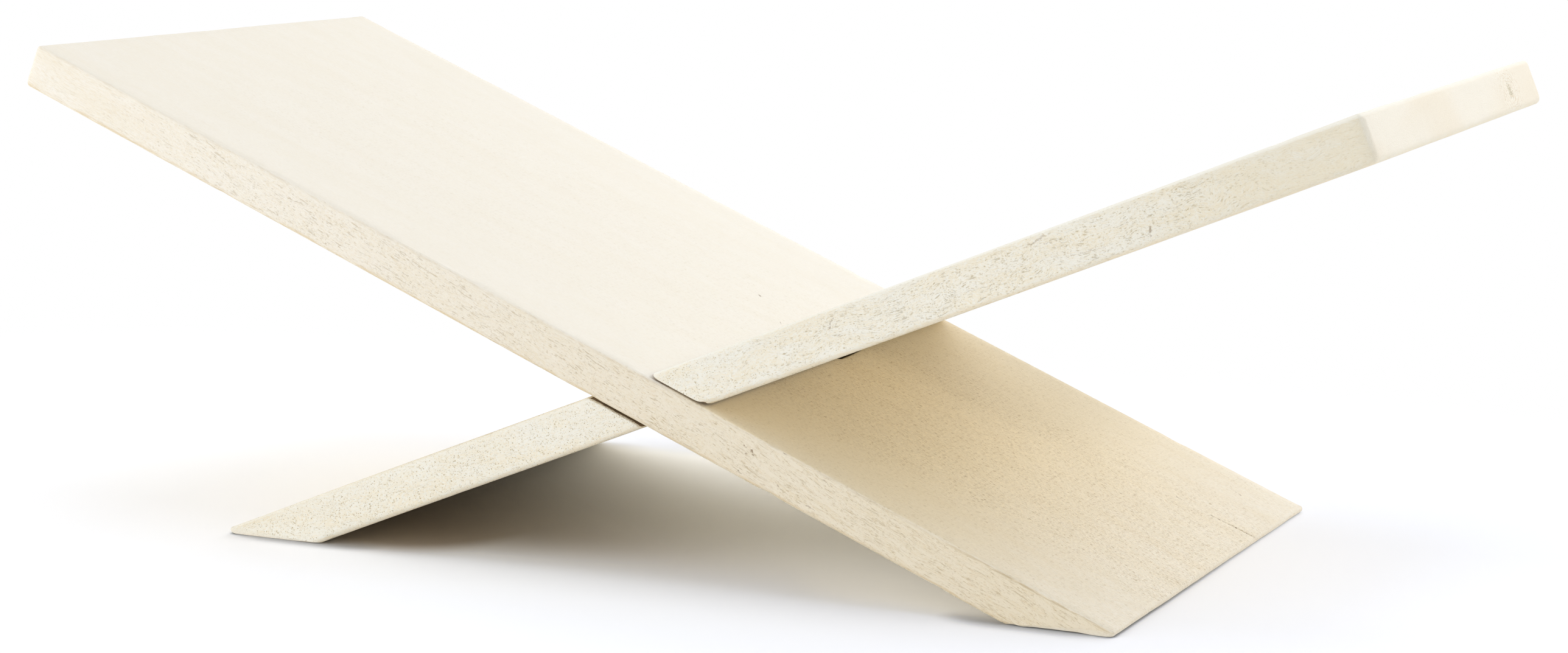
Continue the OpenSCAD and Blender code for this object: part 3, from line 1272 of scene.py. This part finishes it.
def board_wood(name, turned, look, effects):
    """Bleached open-pored hardwood: pale bands and growth lines, open pores along the fibres, chalky
    flecks that are partly painted highlights, pale arrises that are partly worn and partly painted
    highlight, tan faces where the other board shades them, partly painted shade, and rough brown saw
    cuts, deepened by painted shade in their gaps."""
    material = bpy.data.materials.new(name)
    material.use_nodes = True
    tree = material.node_tree
    place = board_place(tree, turned)
    part = parts_of_board(place)
    cross_cut = surface_mask(tree, "cross_cut")
    course = place_group(
        effects["course"],
        Place=place,
        Lean=look["lean"],
        Wave_Length=look["wave"][0],
        Wave_Height=look["wave"][1],
        Curl_Length=look["curl"][0],
        Curl_Height=look["curl"][1],
    )["Place"]
    fibre, chalk, crust = (texture(kind, course) for kind in ("fibre", "chalk", "crust"))
    run = texture("run", place)
    crusted = ramp(part.u, *look["crust_from"]) * part.on_side * look["crust"]
    pores = pore_mask(course, part, crusted, look, effects)

    colour = bleached_colour(course, part, fibre, chalk, look, effects)
    colour = mixed(ramp(crust, *ISLANDS_AT) * crusted, colour, look["pale"])
    colour = side_tint_tan_and_painted_shade(course, part, colour, look)
    # The lower arris: a darker golden band on the left board, and on the right a pale warm band, which
    # is a painted highlight.
    low_edge = ramp(part.w, *LOW_ARRIS_W) * part.on_side * ramp(run, *LOW_EDGE_AT, 0.15, 1.0)
    colour = mixed(low_edge * look["low_edge"], colour, look["low_arris"])
    end_colour, end_dots = end_grain(place, chalk, look)
    colour = mixed(cross_cut, colour, end_colour)
    lines = dark_lines(part, run, crust, chalk, crusted, look)
    pored = largest(pores * pore_depth(part, look), *lines)
    pored = mixed_value(cross_cut, pored, end_dots)
    colour = mixed(pored, colour, look["pore"], "MULTIPLY")
    colour = marked(place, colour, look, effects)
    # Pale upper arrises and foot nose: partly worn and rubbed wood, partly a painted highlight where the
    # edges catch the light.
    rubbed = ramp(surface_mask(tree, "arris"), 0.3, 1.0) * ramp(part.w, *RUBBED_W)
    rubbed = rubbed * look["rubbed"] * (1.0 - cross_cut)
    nose = ramp(part.u, *FOOT_NOSE_U) * NOSE_SHARE
    colour = mixed(largest(rubbed, nose), colour, look["pale"])
    colour = mixed(saw_stain_and_gap_shade(place, part, chalk, look) * CUT_SHARE, colour, CUT_BROWN)

    height = fibre * RELIEF_FIBRES + chalk - pores * RELIEF_PORES
    relief = {
        "Strength": RELIEF_STRENGTH,
        "Distance": RELIEF_HEIGHT,
        "Height": height * fade(part.bleached, 1.0, 0.3),
    }
    finish = {
        "Base Color": colour,
        "Roughness": ramp(chalk, *GRAIN_AT, *CHALK_ROUGHNESS),
        "Specular IOR Level": 0.3,
        "Normal": add_node(tree, "Bump", relief)["Normal"],
    }
    feed(tree.nodes["Principled BSDF"], finish)
    return material


# ---------------------------------------------------------------- stage, light and camera
# The studio floor's colours: as it lights, and as it is seen between the feet, which is a painted
# shadow, at the open side there, which is painted light, and round the bookstand on the left and on the
# right.
FLOOR_WHITE = (0.92, 0.92, 0.92, 1)
FLOOR_PAINTED_SHADE = (0.50, 0.43, 0.37, 1)
FLOOR_PAINTED_LIGHT = (1.50, 1.54, 1.60, 1)
FLOOR_OUTER = (1.17, 1.20, 1.27, 1)
FLOOR_RIGHT = (1.07, 1.11, 1.22, 1)
# How far the floor looks for what touches it and for what covers it, how open it is where the painted
# contact shade begins and is gone, and where nothing covers it.
CONTACT_REACH = 12 * MM
COVER_REACH = 100 * MM
OPEN_BESIDE = (0.42, 1.0)
OPEN_ABOVE = (0.60, 0.90)
# The half size of the part between the feet, the direction of its open side and how far along it
# the floor opens, and in metres past its edge where the outer colour begins and is full, and where
# the foot tips end the contact shade.
HALF_PRINT = (0.195, DEPTH / 2, 0)
OPENING = (4.7, 5.3, 0)
OPEN_FROM = (-1.1, 0.2)
OUTER_FROM = (-0.018, 0.010)
FOOT_TIPS_AT = (0.008, 0.0145)
BACK_FROM = (-0.1, 0.1)
# The x and y between which the front edge of the painted shadow softens, and the share of its sharpness
# that is left.
SOFT_FROM = (-0.135, -0.085)
SOFT_TO = (0.045, 0.09)
SOFT_BEHIND = (-0.03, 0.04)
SOFTEST = 0.34
# The floor turns plain white between these distances, and this much further out along x.
WHITE_FROM = (0.20, 0.45)
WHITE_STRETCH = (1 / 1.8, 1, 0)
WORLD_LIGHT = 0.58
# The soft boxes: their azimuth (0 in front, 90 degrees at the right), elevation and power.
SOFT_BOXES = {
    "front_left_box": (315, 14, 17),
    "right_box": (95, 20, 6),
    "back_box": (180, 14, 14),
    "back_right_box": (140, 35, 8),
    "overhead_box": (0, 90, 6),
}
BOX_SIZE = 1.4
BOX_DISTANCE = 2.2
LIT_PLACE = Vector((0, 0, 0.05))
# The photograph's view: about 25 degrees to the right of the front and 13 degrees up.
CAMERA_PLACE = (0.6372, -1.3800, 0.3364)
CAMERA_TURN = (80.762, -0.489, 24.772)
CAMERA_LENS = 79.49


def seen_directly(tree):
    """1 for the rays that show a backdrop: from the camera, a mirror or glass."""
    path = add_node(tree, "LightPath")
    return largest(*(path["Is " + ray + " Ray"] for ray in ("Camera", "Glossy", "Transmission")))


def openness(tree, reach):
    """1 where nothing stands within reach over the floor, and less where something does."""
    return add_node(tree, "AmbientOcclusion", {"Distance": reach}, samples=8)["AO"]


def beyond_feet(place):
    """0 on the floor between the feet and 1 beyond them or where nothing covers it, and how much of
    the painted contact shade shows. The front edge of the painted shadow is softer in the middle, where
    the boards are high."""
    sides = add_node(place.tree, "SeparateXYZ", {0: abs(place) - HALF_PRINT})
    at = add_node(place.tree, "SeparateXYZ", {0: place})
    sharp = ramp(at["X"], *SOFT_FROM, 1.0, SOFTEST)
    for line, limits, full in ((at["X"], SOFT_TO, 0.9), (at["Y"], SOFT_BEHIND, 1.0)):
        sharp = largest(sharp, ramp(line, *limits, SOFTEST, full))
    front = (sides["Y"] - OUTER_FROM[1]) * sharp + OUTER_FROM[1]
    outer = ramp(largest(sides["X"], front), *OUTER_FROM)
    outer = largest(outer, ramp(openness(place.tree, COVER_REACH), *OPEN_ABOVE))
    at_tips = ramp(sides["X"], *FOOT_TIPS_AT, 1.0, 0.1)
    at_back = ramp(at["Y"], *BACK_FROM, 1.0, 0.25)
    return outer, outer * (at_tips * at_back)


def stage_floor():
    """A wide pale floor just under the feet, which keeps the bookstand's shadow. Seen directly it has a
    painted shadow where the boards cover it and painted contact shade beside them, is a little brighter
    round them, and runs out to plain white."""
    bpy.ops.mesh.primitive_plane_add(size=30, location=(0, 0, -0.02 * MM))
    floor = bpy.context.object
    floor.name = "studio_floor"
    material = bpy.data.materials.new("studio_white")
    material.use_nodes = True
    tree = material.node_tree
    tree.nodes.clear()
    seen = seen_directly(tree)
    place = add_node(tree, "TexCoord")["Object"]
    outer, contact_share = beyond_feet(place)
    opened = ramp(work_out("DOT_PRODUCT", place, OPENING), *OPEN_FROM)
    # Seen directly, between the feet: a painted shadow, lighter towards the open side.
    painted_shade_between_feet = mixed(opened, FLOOR_PAINTED_SHADE, FLOOR_PAINTED_LIGHT)
    round_it = mixed(opened, FLOOR_OUTER, FLOOR_RIGHT)
    shown = mixed(outer, painted_shade_between_feet, round_it)
    # Painted contact shade: darker where the floor's ambient occlusion finds the boards close by.
    contact = ramp(openness(tree, CONTACT_REACH), *OPEN_BESIDE, 0.25, 1.0)
    shown = mixed(contact_share, shown, contact, "MULTIPLY")
    paint = add_node(tree, "BsdfDiffuse", {"Color": mixed(seen, FLOOR_WHITE, shown)})
    glow = add_node(tree, "Emission", {"Color": (1, 1, 1, 1), "Strength": 1.0})
    far = ramp(work_out("LENGTH", place * WHITE_STRETCH), *WHITE_FROM) * seen
    whole = add_node(tree, "MixShader", {0: far, 1: paint[0], 2: glow[0]})
    add_node(tree, "OutputMaterial", {"Surface": whole[0]})
    floor.data.materials.append(material)


def soft_box(name, azimuth, elevation, power):
    """A square soft box that faces the bookstand and isn't seen itself."""
    around, up = radians(azimuth), radians(elevation)
    towards = Vector((cos(up) * sin(around), -cos(up) * cos(around), sin(up)))
    light = bpy.data.lights.new(name, "AREA")
    light.shape = "RECTANGLE"
    light.size = light.size_y = BOX_SIZE
    light.energy = power
    lamp = bpy.data.objects.new(name, light)
    lamp.location = towards * BOX_DISTANCE + LIT_PLACE
    lamp.rotation_euler = towards.to_track_quat("Z", "Y").to_euler()
    lamp.visible_camera = False
    bpy.context.scene.collection.objects.link(lamp)


def studio():
    """White surroundings that light evenly, a soft key from the front left, soft lights from behind
    and from the right, and a weak one overhead."""
    world = bpy.data.worlds.new("studio_surround")
    bpy.context.scene.world = world
    world.use_nodes = True
    tree = world.node_tree
    strength = seen_directly(tree) * (1 - WORLD_LIGHT) + WORLD_LIGHT
    feed(tree.nodes["Background"], {"Color": (1, 1, 1, 1), "Strength": strength})
    for name, settings in SOFT_BOXES.items():
        soft_box(name, *settings)


def photo_camera():
    """The camera at the photograph's view."""
    data = bpy.data.cameras.new("photo_view")
    data.sensor_width = 36
    data.lens = CAMERA_LENS
    camera = bpy.data.objects.new("photo_view", data)
    camera.location = CAMERA_PLACE
    camera.rotation_euler = Euler([radians(turn) for turn in CAMERA_TURN])
    bpy.context.scene.collection.objects.link(camera)
    bpy.context.scene.camera = camera


photo_camera()
stage_floor()
studio()
effects = {
    "course": fibre_course_group(),
    "pores": open_pores_group(),
    "streaks": streaks_group(),
    "growth": growth_group(),
    "mark": mark_group(),
}
for name, board in BOARDS.items():
    piece = dressed_board(name, board)
    wood = board_wood(name + "_wood", board["turned"], WOOD[name], effects)
    piece.data.materials.append(wood)
    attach(piece, board["body"])
    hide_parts(name)

bpy.context.scene.view_settings.view_transform = "Standard"
